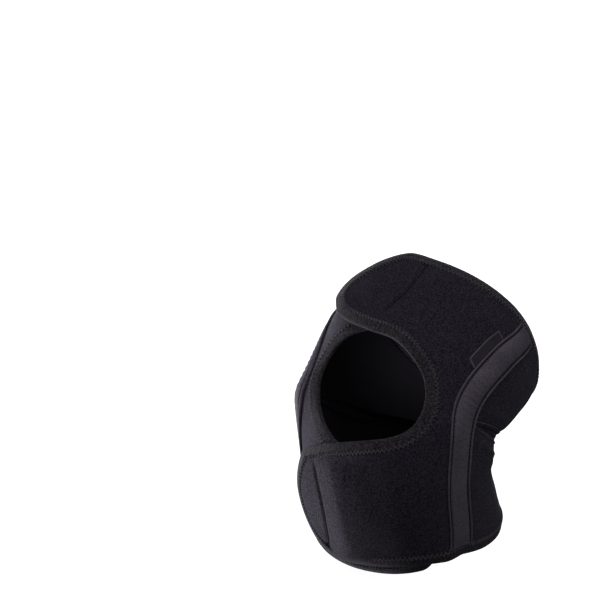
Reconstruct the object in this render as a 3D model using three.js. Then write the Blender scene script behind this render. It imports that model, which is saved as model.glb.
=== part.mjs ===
// A wrap-around knee support in its fastened form, bent at the knee.
// Lengths are in millimetres and angles in degrees. The origin is the middle of the knee, +Z is up
// and -Y is the front of the leg. A place on the support is given by two numbers: angle, round the
// leg from the front towards +X, and station, along the leg from the knee towards the upper rim.
import * as THREE from "three";

// Cloth and clearances
const WALL = 2.8;
const TAPE = 0.5;
const GAP = 0.4;
const TAPE_GAP = 0.6;
const INSERT_WALL = 1.2;
const TAG_WALL = 0.9;

// The straps that close on top clear the straps and the binding beneath them
const STRAP_LIFT = WALL + 2 * (TAPE_GAP + TAPE) + GAP;

// Edge binding
const BINDING_LAP = 7;
const BINDING_NOSE = 1.2;

// Stay bands
const BAND_WIDTH = 20;
const BAND_GAP = 0.9;
const BAND_END = BINDING_LAP + 1.5;
// Cross-section from edge to edge: flat hem, stitch groove, puffed middle
const BAND_PROFILE = [
  { across: -1, height: 0.8 },
  { across: -0.8, height: 1.0 },
  { across: -0.66, height: 0.8 },
  { across: 0, height: 2.4 },
  { across: 0.66, height: 0.8 },
  { across: 0.8, height: 1.0 },
  { across: 1, height: 0.8 },
];

// Tag
const TAG_LENGTH = 26.5;
const TAG_WIDTH = 6.2;
const TAG_STATION = 33;
// Its ends are cut square to the band, so they slant against the stations
const TAG_SLANT = 0.45;

// Leg sections from the lower rim to the upper rim: centre, lean and half sizes
const ROUNDNESS = 2.3;
const SECTIONS = [
  { station: -105, y: 6.7, z: -101.7, lean: -8.5, near: 66.5, far: 64.5, front: 53, back: 62 },
  { station: -70, y: -1.5, z: -67.7, lean: -16.5, near: 64.5, far: 61.5, front: 58.5, back: 54.5 },
  { station: -35, y: -8.4, z: -33.5, lean: -2, near: 65.5, far: 61.5, front: 61.5, back: 44 },
  { station: 0, y: 0, z: 0, lean: 31.5, near: 68, far: 62.5, front: 59, back: 48 },
  { station: 35, y: 24.7, z: 24.4, lean: 55, near: 74, far: 74.5, front: 59.5, back: 55.5 },
  { station: 70, y: 53, z: 44.9, lean: 51, near: 70, far: 69, front: 63, back: 61.5 },
  { station: 100, y: 76.1, z: 64.1, lean: 50.5, near: 53.5, far: 53.5, front: 58.5, back: 62.5 },
];

// The far side stands out in a corner at the knee
const FAR_CORNER = {
  angle: -61.5, station: -5, heading: -62, out: 13.5, ahead: 15, behind: 26, reach: 44, softness: 0.1, ease: 2,
};

// Middle line of the near stay band; the far one mirrors it
const BAND_LINE = [
  { station: -90, angle: 61 },
  { station: -55, angle: 65.5 },
  { station: -25, angle: 64.5 },
  { station: 3, angle: 60.5 },
  { station: 33, angle: 65 },
  { station: 62, angle: 74.5 },
  { station: 82, angle: 81 },
];

// Rims of the panels
const OVER_UPPER_RIM = [
  { angle: -38, station: 78 },
  { angle: -22, station: 83.5 },
  { angle: -7, station: 86 },
  { angle: 13, station: 81.5 },
  { angle: 50, station: 78.3 },
  { angle: 80, station: 77.5 },
];
const OVER_LOWER_RIM = [
  { angle: -44, station: -79 },
  { angle: -30, station: -83 },
  { angle: -10, station: -84.5 },
  { angle: 12, station: -81 },
  { angle: 40, station: -79.5 },
  { angle: 62, station: -84 },
];
const UNDER_UPPER_RIM = [
  { angle: -80, station: 81 },
  { angle: -58, station: 80 },
  { angle: -32, station: 80 },
  { angle: -14, station: 78 },
  { angle: 3, station: 72 },
];
const UNDER_LOWER_RIM = [
  { angle: -62, station: -93 },
  { angle: -35, station: -97 },
  { angle: -9, station: -100 },
  { angle: 10, station: -98.5 },
  { angle: 28, station: -94 },
  { angle: 50, station: -86 },
];
const BACK_UPPER_RIM = [
  { angle: 80, station: 77.5 },
  { angle: 95, station: 73.5 },
  { angle: 115, station: 66 },
  { angle: 150, station: 60.5 },
  { angle: 180, station: 62 },
  { angle: 212, station: 76 },
  { angle: 240, station: 83 },
  { angle: 262, station: 84 },
  { angle: 280, station: 81 },
];
const BACK_LOWER_RIM = [
  { angle: 62, station: -84 },
  { angle: 87, station: -91.5 },
  { angle: 112, station: -94 },
  { angle: 180, station: -91 },
  { angle: 248, station: -94 },
  { angle: 298, station: -93 },
];

// Kneecap edges of the wraps: upper strap, notch, lower strap
const OVER_NOTCH = [
  { angle: -38, station: 31.5 },
  { angle: -25.5, station: 24.8 },
  { angle: -11, station: 21.3 },
  { angle: 7, station: 19 },
  { angle: 22.3, station: 13 },
  { angle: 32.8, station: 5.8 },
  { angle: 37, station: -3.5 },
  { angle: 34, station: -12 },
  { angle: 23.5, station: -17 },
  { angle: 3, station: -20.2 },
  { angle: -14, station: -22.2 },
  { angle: -30, station: -25 },
  { angle: -44, station: -28.6 },
];
const UNDER_NOTCH = [
  { angle: 3, station: 31 },
  { angle: -5, station: 27 },
  { angle: -14.5, station: 23.5 },
  { angle: -25, station: 20.5 },
  { angle: -34.5, station: 15.5 },
  { angle: -41, station: 9 },
  { angle: -43.5, station: 2 },
  { angle: -41.5, station: -5.5 },
  { angle: -35.5, station: -12.5 },
  { angle: -20, station: -20 },
  { angle: 3, station: -26 },
  { angle: 26, station: -31.5 },
  { angle: 50, station: -38 },
];

// Rounded strap ends: where the tip lies across the strap and how much of each edge is rounded off
const END_POWER = 1.7;
const OVER_UPPER_END = { tip: 0.2, notch_round: 0.14, rim_round: 0.25 };
const OVER_LOWER_END = { tip: 0.32, notch_round: 0.16, rim_round: 0.27 };
const UNDER_UPPER_END = { tip: 0.5, notch_round: 0.28, rim_round: 0.2 };
const UNDER_LOWER_END = { tip: 0.5, notch_round: 0.2, rim_round: 0.12 };

// Where the straps on top come down on to the near side, past the ends beneath them
const UPPER_RAMP = { raised: 6, down: 58 };
const LOWER_RAMP = { raised: 50, down: 66 };
const RAMP_BLEND = 14;
// The stiff ends of these straps stand off the leg, more and more towards the tip
const UPPER_FLARE = { from: 5, to: -34, lift: 5 };
const LOWER_FLARE = { from: -14, to: -44, lift: 3.4 };

// Knee-pit cut-out and the insert that laps behind its edge
const PIT = { middle: 180, reach: 106, station: -4, half_height: 6, fullness: 2, corner: 22, blunt: 0.98 };
const PIT_LAP = { reach: 4, half_height: 7 };
// Cross-section of the insert: flat where it laps, bulging out through the cut-out
const PIT_BULGE = 2.6;
const PIT_PROFILE = [
  { across: -1, bulge: 0 },
  { across: -0.4, bulge: 0 },
  { across: -0.24, bulge: 0.8 },
  { across: 0, bulge: 1 },
  { across: 0.24, bulge: 0.8 },
  { across: 0.4, bulge: 0 },
  { across: 1, bulge: 0 },
];

// Facets; the columns of a lower strap crowd together towards the seam
const SEAM_STEPS = 17;
const OVER_STEPS = { upper: 17, lower: 17 };
const UNDER_STEPS = { upper: 9, lower: 15 };
const STRAP_CROWDING = 1.3;
const WRAP_ROWS = [0, 0.05, 0.12, 0.26, 0.42, 0.58, 0.74, 0.88, 0.95, 1];
const BACK_RIM_STEPS = 21;
const BACK_ROWS = [0, 0.09, 0.35, 0.66, 0.88, 1];
const PIT_STEPS = 20;
const BAND_STEPS = 20;
const TAG_STEPS = 4;

const RADIAN = Math.PI / 180;

function mix(a, b, t) {
  return a + (b - a) * t;
}

// Evenly spaced fractions from 0 to 1
function fractions(steps) {
  return Array.from({ length: steps + 1 }, (_, i) => i / steps);
}

// Soft step: 0 at a, 1 at b
function step(a, b, x) {
  const t = Math.min(Math.max((x - a) / (b - a), 0), 1);
  return t * t * (3 - 2 * t);
}

// Smooth curve through one column of a table, as a function of another column
function through(rows, key, column) {
  const x = rows.map((row, i) => (key ? row[key] : i));
  const y = rows.map((row) => row[column]);
  const last = rows.length - 1;
  const slope = y.map((_, i) => {
    const a = Math.max(i - 1, 0);
    const b = Math.min(i + 1, last);
    return (y[b] - y[a]) / (x[b] - x[a]);
  });
  return (at) => {
    if (at <= x[0]) return y[0] + slope[0] * (at - x[0]);
    if (at >= x[last]) return y[last] + slope[last] * (at - x[last]);
    const i = x.findIndex((value) => value > at) - 1;
    const h = x[i + 1] - x[i];
    const t = (at - x[i]) / h;
    const rise = (y[i + 1] - y[i]) * t * t * (3 - 2 * t);
    return y[i] + rise + h * t * (1 - t) * (slope[i] * (1 - t) - slope[i + 1] * t);
  };
}

// Edge through the rows of a table; t runs from 0 at the first row to 1 at the last
function edge(rows) {
  const angle = through(rows, null, "angle");
  const station = through(rows, null, "station");
  return (t) => ({ angle: angle(t * (rows.length - 1)), station: station(t * (rows.length - 1)) });
}

// Rim through the rows of a table; t runs evenly in angle from one angle to another
function rim(rows, from, to) {
  const station = through(rows, "angle", "station");
  return (t) => ({ angle: mix(from, to, t), station: station(mix(from, to, t)) });
}

const section = Object.fromEntries(
  Object.keys(SECTIONS[0]).map((column) => [column, through(SECTIONS, "station", column)]),
);
const bandAngle = through(BAND_LINE, "station", "angle");

// Inner face of the support: a rounded section at each station, with the far corner pushed out
function core(angle, station) {
  const c = Math.cos(angle * RADIAN);
  const s = Math.sin(angle * RADIAN);
  const round = (Math.abs(c) ** ROUNDNESS + Math.abs(s) ** ROUNDNESS) ** (-1 / ROUNDNESS);
  const depth = (c > 0 ? section.front(station) : section.back(station)) * c * round;
  const lean = section.lean(station) * RADIAN;
  const turn = ((((angle - FAR_CORNER.angle + 180) % 360) + 360) % 360) - 180;
  const beside = Math.exp(-((turn / (turn > 0 ? FAR_CORNER.ahead : FAR_CORNER.behind)) ** 2));
  const away = Math.hypot((station - FAR_CORNER.station) / FAR_CORNER.reach, FAR_CORNER.softness);
  const along = Math.max(0, 1 - away) ** FAR_CORNER.ease;
  const out = FAR_CORNER.out * beside * along;
  const heading = FAR_CORNER.heading * RADIAN;
  const side = s > 0 ? section.near(station) : section.far(station);
  return new THREE.Vector3(
    side * s * round + out * Math.sin(heading),
    section.y(station) - depth * Math.cos(lean) - out * Math.cos(heading),
    section.z(station) + depth * Math.sin(lean),
  );
}

// Directions of growing angle and station, per degree and per millimetre, and the outward normal
function axesAt(angle, station) {
  const across = core(angle + 0.5, station).sub(core(angle - 0.5, station));
  const along = core(angle, station + 0.5).sub(core(angle, station - 0.5));
  return { across, along, normal: across.clone().cross(along).normalize() };
}

function place(angle, station, lift) {
  return core(angle, station).addScaledVector(axesAt(angle, station).normal, lift);
}

// The place reached from a point of the support by moving off along a direction in space
function moved(at, direction, distance) {
  const { across, along } = axesAt(at.angle, at.station);
  const aa = across.dot(across);
  const ab = across.dot(along);
  const bb = along.dot(along);
  const a = direction.dot(across) * distance;
  const b = direction.dot(along) * distance;
  const scale = 1 / (aa * bb - ab * ab);
  return {
    angle: at.angle + (a * bb - b * ab) * scale,
    station: at.station + (b * aa - a * ab) * scale,
  };
}

// How far a strap's stiff end stands off
function flare({ from, to, lift }, angle) {
  return angle < from ? lift * ((angle - from) / (to - from)) ** 2 : 0;
}

// Height of each layer over the inner face
const onLeg = () => 0;
function onTop({ angle, station }) {
  const upper = step(-RAMP_BLEND, RAMP_BLEND, station);
  const raised = mix(LOWER_RAMP.raised, UPPER_RAMP.raised, upper);
  const down = mix(LOWER_RAMP.down, UPPER_RAMP.down, upper);
  const stiff = mix(flare(LOWER_FLARE, angle), flare(UPPER_FLARE, angle), upper);
  return STRAP_LIFT * step(down, raised, angle) + stiff;
}

// Closed body from vertices and faces, turned to face outward
function body(name, vertices, faces, material) {
  const volume = faces.reduce((sum, [a, b, c]) => {
    const normal = vertices[b].clone().cross(vertices[c]);
    return sum + vertices[a].dot(normal);
  }, 0);
  const index = faces.flatMap(([a, b, c]) => (volume > 0 ? [a, b, c] : [a, c, b]));
  const geometry = new THREE.BufferGeometry();
  const position = vertices.flatMap((point) => point.toArray());
  geometry.setAttribute("position", new THREE.Float32BufferAttribute(position, 3));
  geometry.setIndex(index);
  geometry.computeVertexNormals();
  const mesh = new THREE.Mesh(geometry, material);
  mesh.name = name;
  return mesh;
}

// Cloth between two heights over a grid of places. A height is a number, or a function of the place
// and its row. A ring closes on itself along the columns
function cloth(name, grid, layer, low, high, material, ring = false) {
  const columns = grid.length;
  const rows = grid[0].length;
  const surface = (height) =>
    grid.flatMap((column) =>
      column.map((at, row) => {
        const lift = typeof height === "function" ? height(at, row) : height;
        return place(at.angle, at.station, layer(at) + lift);
      }),
    );
  const vertices = [...surface(high), ...surface(low)];
  const below = columns * rows;
  const id = (i, j) => (i % columns) * rows + j;
  const faces = [];
  const quad = (a, b, c, d) => faces.push([a, b, c], [a, c, d]);
  const spans = ring ? columns : columns - 1;
  for (let i = 0; i < spans; i++) {
    for (let j = 0; j < rows - 1; j++) {
      const corners = [id(i, j), id(i + 1, j), id(i + 1, j + 1), id(i, j + 1)];
      const [a, b, c, d] = corners.map((corner) => vertices[corner]);
      const turn = a.distanceTo(c) < b.distanceTo(d) ? 0 : 1;
      const [p, q, r, s] = [0, 1, 2, 3].map((k) => corners[(k + turn) % 4]);
      quad(p, q, r, s);
      quad(p + below, s + below, r + below, q + below);
    }
    const [a, b] = [id(i, 0), id(i + 1, 0)];
    const [c, d] = [id(i, rows - 1), id(i + 1, rows - 1)];
    quad(b, a, a + below, b + below);
    quad(c, d, d + below, c + below);
  }
  for (let j = 0; j < rows - 1 && !ring; j++) {
    const [a, b] = [id(0, j), id(0, j + 1)];
    const [c, d] = [id(columns - 1, j), id(columns - 1, j + 1)];
    quad(a, b, b + below, a + below);
    quad(d, c, c + below, d + below);
  }
  return body(name, vertices, faces, material);
}

// Colours
const fabric = (color, roughness) => new THREE.MeshStandardMaterial({ color, roughness, metalness: 0 });
const LOOP_BLACK = fabric("#26242a", 0.95);
const LOOP_BACK = fabric("#232127", 0.95);
const SMOOTH_GREY = fabric("#2b2a2d", 0.8);
const BAND_BLACK = fabric("#2a272e", 0.9);
const BINDING_BLACK = fabric("#2c2a2e", 0.85);
const TAG_GREY = fabric("#5c5b60", 0.7);

// Share of a strap's edge that its rounded end takes away, at a fraction t across the strap
function rounded(end, t) {
  const inner = t < end.tip;
  const x = inner ? (end.tip - t) / end.tip : (t - end.tip) / (1 - end.tip);
  return (inner ? end.notch_round : end.rim_round) * (1 - (1 - x ** END_POWER) ** (1 / END_POWER));
}

// Grid of a C-shaped wrap: columns run down the C from the upper strap's end to the lower strap's
// end, rows run from the kneecap edge out to the rims and the seam
function wrapGrid({ notch, upperRim, seam, lowerRim, upperEnd, lowerEnd, steps }) {
  const inner = edge(notch);
  const upper = fractions(steps.upper).slice(0, -1);
  const side = fractions(SEAM_STEPS).slice(0, -1);
  const lower = fractions(steps.lower).map((t) => t ** STRAP_CROWDING);
  const column = (third, outer, along) =>
    WRAP_ROWS.map((row) => {
      const t = along(row);
      const from = inner((third + t) / 3);
      const to = outer(t);
      return { angle: mix(from.angle, to.angle, row), station: mix(from.station, to.station, row) };
    });
  return [
    ...upper.map((t) => column(0, upperRim, (row) => mix(rounded(upperEnd, row), 1, t))),
    ...side.map((t) => column(1, seam, () => t)),
    ...lower.map((t) => column(2, lowerRim, (row) => t * (1 - rounded(lowerEnd, row)))),
  ];
}

// Seam under a stay band, from one station to another, set off its middle line by a small shift
function seamLine(side, from, to, shift) {
  return (t) => {
    const station = mix(from, to, t);
    const angle = side * bandAngle(station);
    return { angle: angle + shift / axesAt(angle, station).across.length(), station };
  };
}

const first = (rows) => rows[0];
const last = (rows) => rows[rows.length - 1];

const overGrid = wrapGrid({
  notch: OVER_NOTCH,
  upperRim: rim(OVER_UPPER_RIM, first(OVER_UPPER_RIM).angle, last(OVER_UPPER_RIM).angle),
  seam: seamLine(1, last(OVER_UPPER_RIM).station, last(OVER_LOWER_RIM).station, -GAP / 2),
  lowerRim: rim(OVER_LOWER_RIM, last(OVER_LOWER_RIM).angle, first(OVER_LOWER_RIM).angle),
  upperEnd: OVER_UPPER_END,
  lowerEnd: OVER_LOWER_END,
  steps: OVER_STEPS,
});
const underGrid = wrapGrid({
  notch: UNDER_NOTCH,
  upperRim: rim(UNDER_UPPER_RIM, last(UNDER_UPPER_RIM).angle, first(UNDER_UPPER_RIM).angle),
  seam: seamLine(-1, first(UNDER_UPPER_RIM).station, first(UNDER_LOWER_RIM).station, GAP / 2),
  lowerRim: rim(UNDER_LOWER_RIM, first(UNDER_LOWER_RIM).angle, last(UNDER_LOWER_RIM).angle),
  upperEnd: UNDER_UPPER_END,
  lowerEnd: UNDER_LOWER_END,
  steps: UNDER_STEPS,
});

// Half height of the knee-pit cut-out at a fraction of its reach; the bent knee pinches its ends
function pitHeight(fraction, halfHeight) {
  return halfHeight * Math.max(0, 1 - Math.abs(fraction) ** PIT.fullness);
}

// Back panel: a ring of columns from the cut-out to the seams and the rims. Each side of the panel
// meets a part of the cut-out's edge, given by its turn round the cut-out
function ringGrid() {
  const upper = [first(BACK_UPPER_RIM), last(BACK_UPPER_RIM)];
  const lower = [first(BACK_LOWER_RIM), last(BACK_LOWER_RIM)];
  const turns = [-PIT.corner, PIT.corner, 180 - PIT.corner, 180 + PIT.corner, 360 - PIT.corner];
  const sides = [
    { outer: seamLine(1, lower[0].station, upper[0].station, GAP / 2), steps: SEAM_STEPS },
    { outer: rim(BACK_UPPER_RIM, upper[0].angle, upper[1].angle), steps: BACK_RIM_STEPS },
    { outer: seamLine(-1, upper[1].station, lower[1].station, -GAP / 2), steps: SEAM_STEPS },
    { outer: rim(BACK_LOWER_RIM, lower[1].angle, lower[0].angle), steps: BACK_RIM_STEPS },
  ];
  const column = (to, turn) => {
    const fraction = -Math.cos(turn * RADIAN);
    const height = pitHeight(fraction, PIT.half_height) * Math.sign(Math.sin(turn * RADIAN));
    const from = { angle: PIT.middle + PIT.reach * fraction, station: PIT.station + height };
    const goal = to.angle < 0 ? to.angle + 360 : to.angle;
    return BACK_ROWS.map((row) => ({
      angle: mix(from.angle, goal, row),
      station: mix(from.station, to.station, row),
    }));
  };
  return sides.flatMap(({ outer, steps }, n) =>
    fractions(steps).slice(0, -1).map((t) => column(outer(t), mix(turns[n], turns[n + 1], t))),
  );
}
const backGrid = ringGrid();

// Insert: a lens a little larger than the cut-out, lying inside the back panel
function lensGrid() {
  return fractions(PIT_STEPS).map((t) => {
    const fraction = mix(-1, 1, t);
    const height = pitHeight(fraction * PIT.blunt, PIT.half_height + PIT_LAP.half_height);
    return PIT_PROFILE.map(({ across }) => ({
      angle: PIT.middle + (PIT.reach + PIT_LAP.reach) * fraction,
      station: PIT.station + height * across,
    }));
  });
}

function kneePitInsert(name) {
  const fade = (at) => 1 - ((at.angle - PIT.middle) / (PIT.reach + PIT_LAP.reach)) ** 2;
  const outer = (at, row) => -GAP + PIT_BULGE * PIT_PROFILE[row].bulge * fade(at);
  const inner = (at, row) => outer(at, row) - INSERT_WALL;
  return cloth(name, lensGrid(), onLeg, inner, outer, SMOOTH_GREY);
}

// Stay band over a seam; its ends follow the rims, clear of the binding
function stayBand(name, side, layer) {
  const lowest = through(BACK_LOWER_RIM, "angle", "station");
  const highest = through(BACK_UPPER_RIM, "angle", "station");
  const ends = side > 0 ? first : last;
  const from = ends(BACK_LOWER_RIM);
  const to = ends(BACK_UPPER_RIM);
  const turned = (angle, station, across) =>
    angle + (across * BAND_WIDTH) / 2 / axesAt(angle, station).across.length();
  const grid = fractions(BAND_STEPS).map((t) =>
    BAND_PROFILE.map(({ across }) => {
      const low = lowest(turned(from.angle, from.station, across)) + BAND_END;
      const high = highest(turned(to.angle, to.station, across)) - BAND_END;
      const station = mix(low, high, t);
      return { angle: turned(side * bandAngle(station), station, across), station };
    }),
  );
  const base = WALL + BAND_GAP;
  return cloth(name, grid, layer, base, (at, row) => base + BAND_PROFILE[row].height, BAND_BLACK);
}

// Tag along the front edge of the near band
function tag(name) {
  const grid = fractions(TAG_STEPS).map((t) => {
    return [TAG_WIDTH, 0].map((out) => {
      const station = TAG_STATION + TAG_LENGTH * (t - 0.5) + TAG_SLANT * out;
      const angle = bandAngle(station);
      const off = BAND_WIDTH / 2 + GAP + out;
      return { angle: angle - off / axesAt(angle, station).across.length(), station };
    });
  });
  return cloth(name, grid, onTop, WALL + GAP, WALL + GAP + TAG_WALL, TAG_GREY);
}

// Outline of the support, with the cloth always on the left seen from outside
function outline() {
  const lowerRim = (grid, steps) => grid.map(last).slice(steps.upper + SEAM_STEPS);
  const upperRim = (grid, steps) => grid.map(last).slice(0, steps.upper + 1);
  const ring = backGrid.map(last);
  const backUpper = ring.slice(SEAM_STEPS, SEAM_STEPS + BACK_RIM_STEPS);
  const backLower = ring.slice(-BACK_RIM_STEPS);
  const leg = [
    ...lowerRim(underGrid, UNDER_STEPS),
    ...last(underGrid).slice(0, -1).reverse(),
    ...underGrid.map(first).slice(0, -1).reverse(),
    ...first(underGrid).slice(1),
    ...upperRim(underGrid, UNDER_STEPS).slice(1),
  ];
  const top = [
    ...backUpper.slice(1).reverse(),
    ...upperRim(overGrid, OVER_STEPS).reverse(),
    ...first(overGrid).slice(0, -1).reverse(),
    ...overGrid.map(first).slice(1),
    ...last(overGrid).slice(1),
    ...lowerRim(overGrid, OVER_STEPS).slice(0, -1).reverse(),
    ...backLower.slice(1).reverse(),
  ];
  return [
    ...leg.map((at) => ({ ...at, layer: onLeg })),
    ...top.map((at) => ({ ...at, layer: onTop })),
  ];
}

// Folded tape: how far in from the cloth's edge, and how high over its inner face
const TAPE_PROFILE = [
  { inward: BINDING_LAP, height: WALL + TAPE_GAP },
  { inward: BINDING_LAP, height: WALL + TAPE_GAP + TAPE },
  { inward: 0, height: WALL + TAPE_GAP + TAPE },
  { inward: -BINDING_NOSE, height: WALL },
  { inward: -BINDING_NOSE, height: 0 },
  { inward: 0, height: -TAPE_GAP - TAPE },
  { inward: BINDING_LAP, height: -TAPE_GAP - TAPE },
  { inward: BINDING_LAP, height: -TAPE_GAP },
  { inward: -GAP, height: -TAPE_GAP },
  { inward: -GAP, height: WALL + TAPE_GAP },
];

function edgeBinding(name) {
  const path = outline();
  const count = path.length;
  const turns = TAPE_PROFILE.length;
  const spots = path.map((at) => place(at.angle, at.station, at.layer(at) + WALL / 2));
  const vertices = path.flatMap((at, k) => {
    const tangent = spots[(k + 1) % count].clone().sub(spots[(k + count - 1) % count]);
    const inwards = axesAt(at.angle, at.station).normal.cross(tangent).normalize();
    return TAPE_PROFILE.map(({ inward, height }) => {
      const spot = moved(at, inwards, inward);
      return place(spot.angle, spot.station, at.layer(spot) + height);
    });
  });
  const faces = path.flatMap((_, k) =>
    TAPE_PROFILE.flatMap((__, j) => {
      const next = ((k + 1) % count) * turns;
      const [a, b] = [k * turns + j, k * turns + ((j + 1) % turns)];
      const [c, d] = [next + ((j + 1) % turns), next + j];
      return [[a, b, c], [a, c, d]];
    }),
  );
  return body(name, vertices, faces, BINDING_BLACK);
}

const support = new THREE.Group();
support.name = "knee_support";
support.add(
  cloth("over_wrap", overGrid, onTop, 0, WALL, LOOP_BLACK),
  cloth("under_wrap", underGrid, onLeg, 0, WALL, LOOP_BLACK),
  cloth("back_panel", backGrid, onTop, 0, WALL, LOOP_BACK, true),
  kneePitInsert("knee_pit_insert"),
  stayBand("near_stay_band", 1, onTop),
  stayBand("far_stay_band", -1, onLeg),
  tag("side_tag"),
  edgeBinding("edge_binding"),
);

export default support;
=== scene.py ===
"""A wrap-around knee support in its fastened form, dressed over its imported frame.

A place on the support is given by two numbers: angle, in degrees round the leg from the front
towards +X, and station, in millimetres along the leg from the knee towards the upper rim. A third
number, lift, is the height over the inner face in millimetres. Meshes are in metres.
"""

import math

import bpy
import numpy as np
from bpy.props import FloatProperty, FloatVectorProperty, PointerProperty
from mathutils import Matrix, Vector


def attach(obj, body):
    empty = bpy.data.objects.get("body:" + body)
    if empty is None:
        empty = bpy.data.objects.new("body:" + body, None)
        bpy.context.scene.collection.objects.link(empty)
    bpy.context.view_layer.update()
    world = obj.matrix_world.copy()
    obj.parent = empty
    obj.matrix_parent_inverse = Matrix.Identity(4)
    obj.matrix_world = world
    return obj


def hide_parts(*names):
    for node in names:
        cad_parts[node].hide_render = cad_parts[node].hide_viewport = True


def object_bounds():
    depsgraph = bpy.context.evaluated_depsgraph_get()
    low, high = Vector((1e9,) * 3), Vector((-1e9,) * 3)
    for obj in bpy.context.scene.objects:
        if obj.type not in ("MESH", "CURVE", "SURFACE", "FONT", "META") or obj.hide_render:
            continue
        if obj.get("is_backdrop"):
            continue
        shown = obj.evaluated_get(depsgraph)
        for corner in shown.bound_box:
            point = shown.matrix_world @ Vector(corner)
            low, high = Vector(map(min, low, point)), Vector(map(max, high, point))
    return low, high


bl_info = {
    "name": "Knee support",
    "version": (1, 0, 0),
    "blender": (4, 5, 0),
    "location": "View3D > Sidebar > Knee support",
    "description": "Dresses the knee support: wraps, back panel, insert, bands, binding, tag and stitching",
    "category": "Object",
}

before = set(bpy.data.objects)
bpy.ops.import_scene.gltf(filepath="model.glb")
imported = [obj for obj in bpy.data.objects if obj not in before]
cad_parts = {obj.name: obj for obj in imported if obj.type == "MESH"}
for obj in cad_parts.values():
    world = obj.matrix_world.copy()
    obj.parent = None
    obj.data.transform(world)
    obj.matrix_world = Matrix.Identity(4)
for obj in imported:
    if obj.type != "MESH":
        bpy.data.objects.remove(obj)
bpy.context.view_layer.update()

MM = 0.001
ANGLE, STATION = 0, 1  # columns of the tables of places

# Leg sections: station, centre y, centre z, lean, half sizes near, far, front and back
ROUNDNESS = 2.3
SECTIONS = (
    (-105, 6.7, -101.7, -8.5, 66.5, 64.5, 53, 62),
    (-70, -1.5, -67.7, -16.5, 64.5, 61.5, 58.5, 54.5),
    (-35, -8.4, -33.5, -2, 65.5, 61.5, 61.5, 44),
    (0, 0, 0, 31.5, 68, 62.5, 59, 48),
    (35, 24.7, 24.4, 55, 74, 74.5, 59.5, 55.5),
    (70, 53, 44.9, 51, 70, 69, 63, 61.5),
    (100, 76.1, 64.1, 50.5, 53.5, 53.5, 58.5, 62.5),
)
# The far side stands out in a corner at the knee
FAR_CORNER = {
    "angle": -61.5, "station": -5, "heading": -62, "out": 13.5, "ahead": 15, "behind": 26, "reach": 44,
    "softness": 0.1, "ease": 2,
}

# Middle line of the near stay band; the far one mirrors it
BAND_LINE = ((61, -90), (65.5, -55), (64.5, -25), (60.5, 3), (65, 33), (74.5, 62), (81, 82))

# Rims of the panels, and the gap between two panels at their seam
SEAM_GAP = 0.4
OVER_UPPER_RIM = ((-38, 78), (-22, 83.5), (-7, 86), (13, 82.6), (50, 80.3), (80, 77.5))
OVER_LOWER_RIM = ((-44, -79), (-30, -83), (-10, -84.5), (12, -81), (40, -79.5), (62, -84))
UNDER_UPPER_RIM = ((-80, 81), (-58, 80), (-32, 80), (-14, 78), (3, 72))
UNDER_LOWER_RIM = ((-62, -93), (-35, -97), (-9, -100), (10, -98.5), (28, -94), (50, -86))
BACK_UPPER_RIM = (
    (80, 77.5), (95, 73.5), (115, 66), (150, 60.5), (180, 62), (212, 76), (240, 83), (262, 84), (280, 81),
)
BACK_LOWER_RIM = ((62, -84), (87, -91.5), (112, -94), (180, -91), (248, -94), (298, -93))
# The near upper rim is turned outwards: from what distance, how far, and the angles it grows and fades over
RIM_TURN = {"reach": 20, "out": 1.8, "most": 1.2, "grows": (20, 65), "fades": (125, 180)}
# Fullness of the back panel's near side between that rim and the knee pit
BACK_FULLNESS = {"angle": 121, "width": 24, "station": 48, "height": 11, "out": 1.7}

# Kneecap edges of the wraps: upper strap, notch, lower strap
OVER_NOTCH = (
    (-38, 31.5), (-25.5, 24.8), (-11, 21.3), (7, 19), (22.3, 13), (32.8, 5.8), (37, -3.5),
    (34, -12), (23.5, -17), (3, -20.2), (-14, -22.2), (-30, -25), (-44, -28.6),
)
UNDER_NOTCH = (
    (3, 31), (-5, 27), (-14.5, 23.5), (-25, 20.5), (-34.5, 15.5), (-41, 9), (-43.5, 2),
    (-41.5, -5.5), (-35.5, -12.5), (-20, -20), (3, -26), (26, -31.5), (50, -38),
)

# Rounded strap ends: where the tip lies across the strap and how much of each edge is rounded off
END_POWER = 1.7
OVER_UPPER_END = {"tip": 0.2, "notch_round": 0.14, "rim_round": 0.25}
OVER_LOWER_END = {"tip": 0.32, "notch_round": 0.16, "rim_round": 0.27}
UNDER_UPPER_END = {"tip": 0.5, "notch_round": 0.28, "rim_round": 0.2}
UNDER_LOWER_END = {"tip": 0.5, "notch_round": 0.2, "rim_round": 0.12}
STRAP_CROWDING = 1.3

# Where the straps on top come down on to the near side, past the ends beneath them
UPPER_RAMP = {"raised": 6, "down": 58}
LOWER_RAMP = {"raised": 50, "down": 66}
RAMP_BLEND = 14
STRAP_LIFT = 5.4
# The stiff ends of these straps stand off the leg, more and more towards the tip
UPPER_FLARE = {"start": 5, "tip": -34, "lift": 5}
LOWER_FLARE = {"start": -14, "tip": -44, "lift": 3.4}

# Sewn lines that hold the hook pads of the straps on top
UPPER_PAD_LINE = ((5.8, 77), (4.8, 62), (1.8, 47), (-1.2, 38), (-4.2, 31), (-3.2, 27))
LOWER_PAD_LINE = ((-26, -27), (-23, -33), (-20, -41), (-19, -50), (-20, -64), (-21, -72))
# Pads: sewn line, stations where the strap begins, groove depth, height and width of the swell beside it
PADS = (
    (UPPER_PAD_LINE, (20, 30), 1.0, 0.3, 11),
    (LOWER_PAD_LINE, (-22, -30), 1.1, 3.4, 16),
)
# All pads: softness of the swell, where it has settled, width of the groove, depth of the thread in it, and
# how far past the binding's lap the pad is full
PAD = {"softness": 0.3, "settles": 33, "groove_width": 1.1, "thread_depth": 0.75, "fade": 12}
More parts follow.
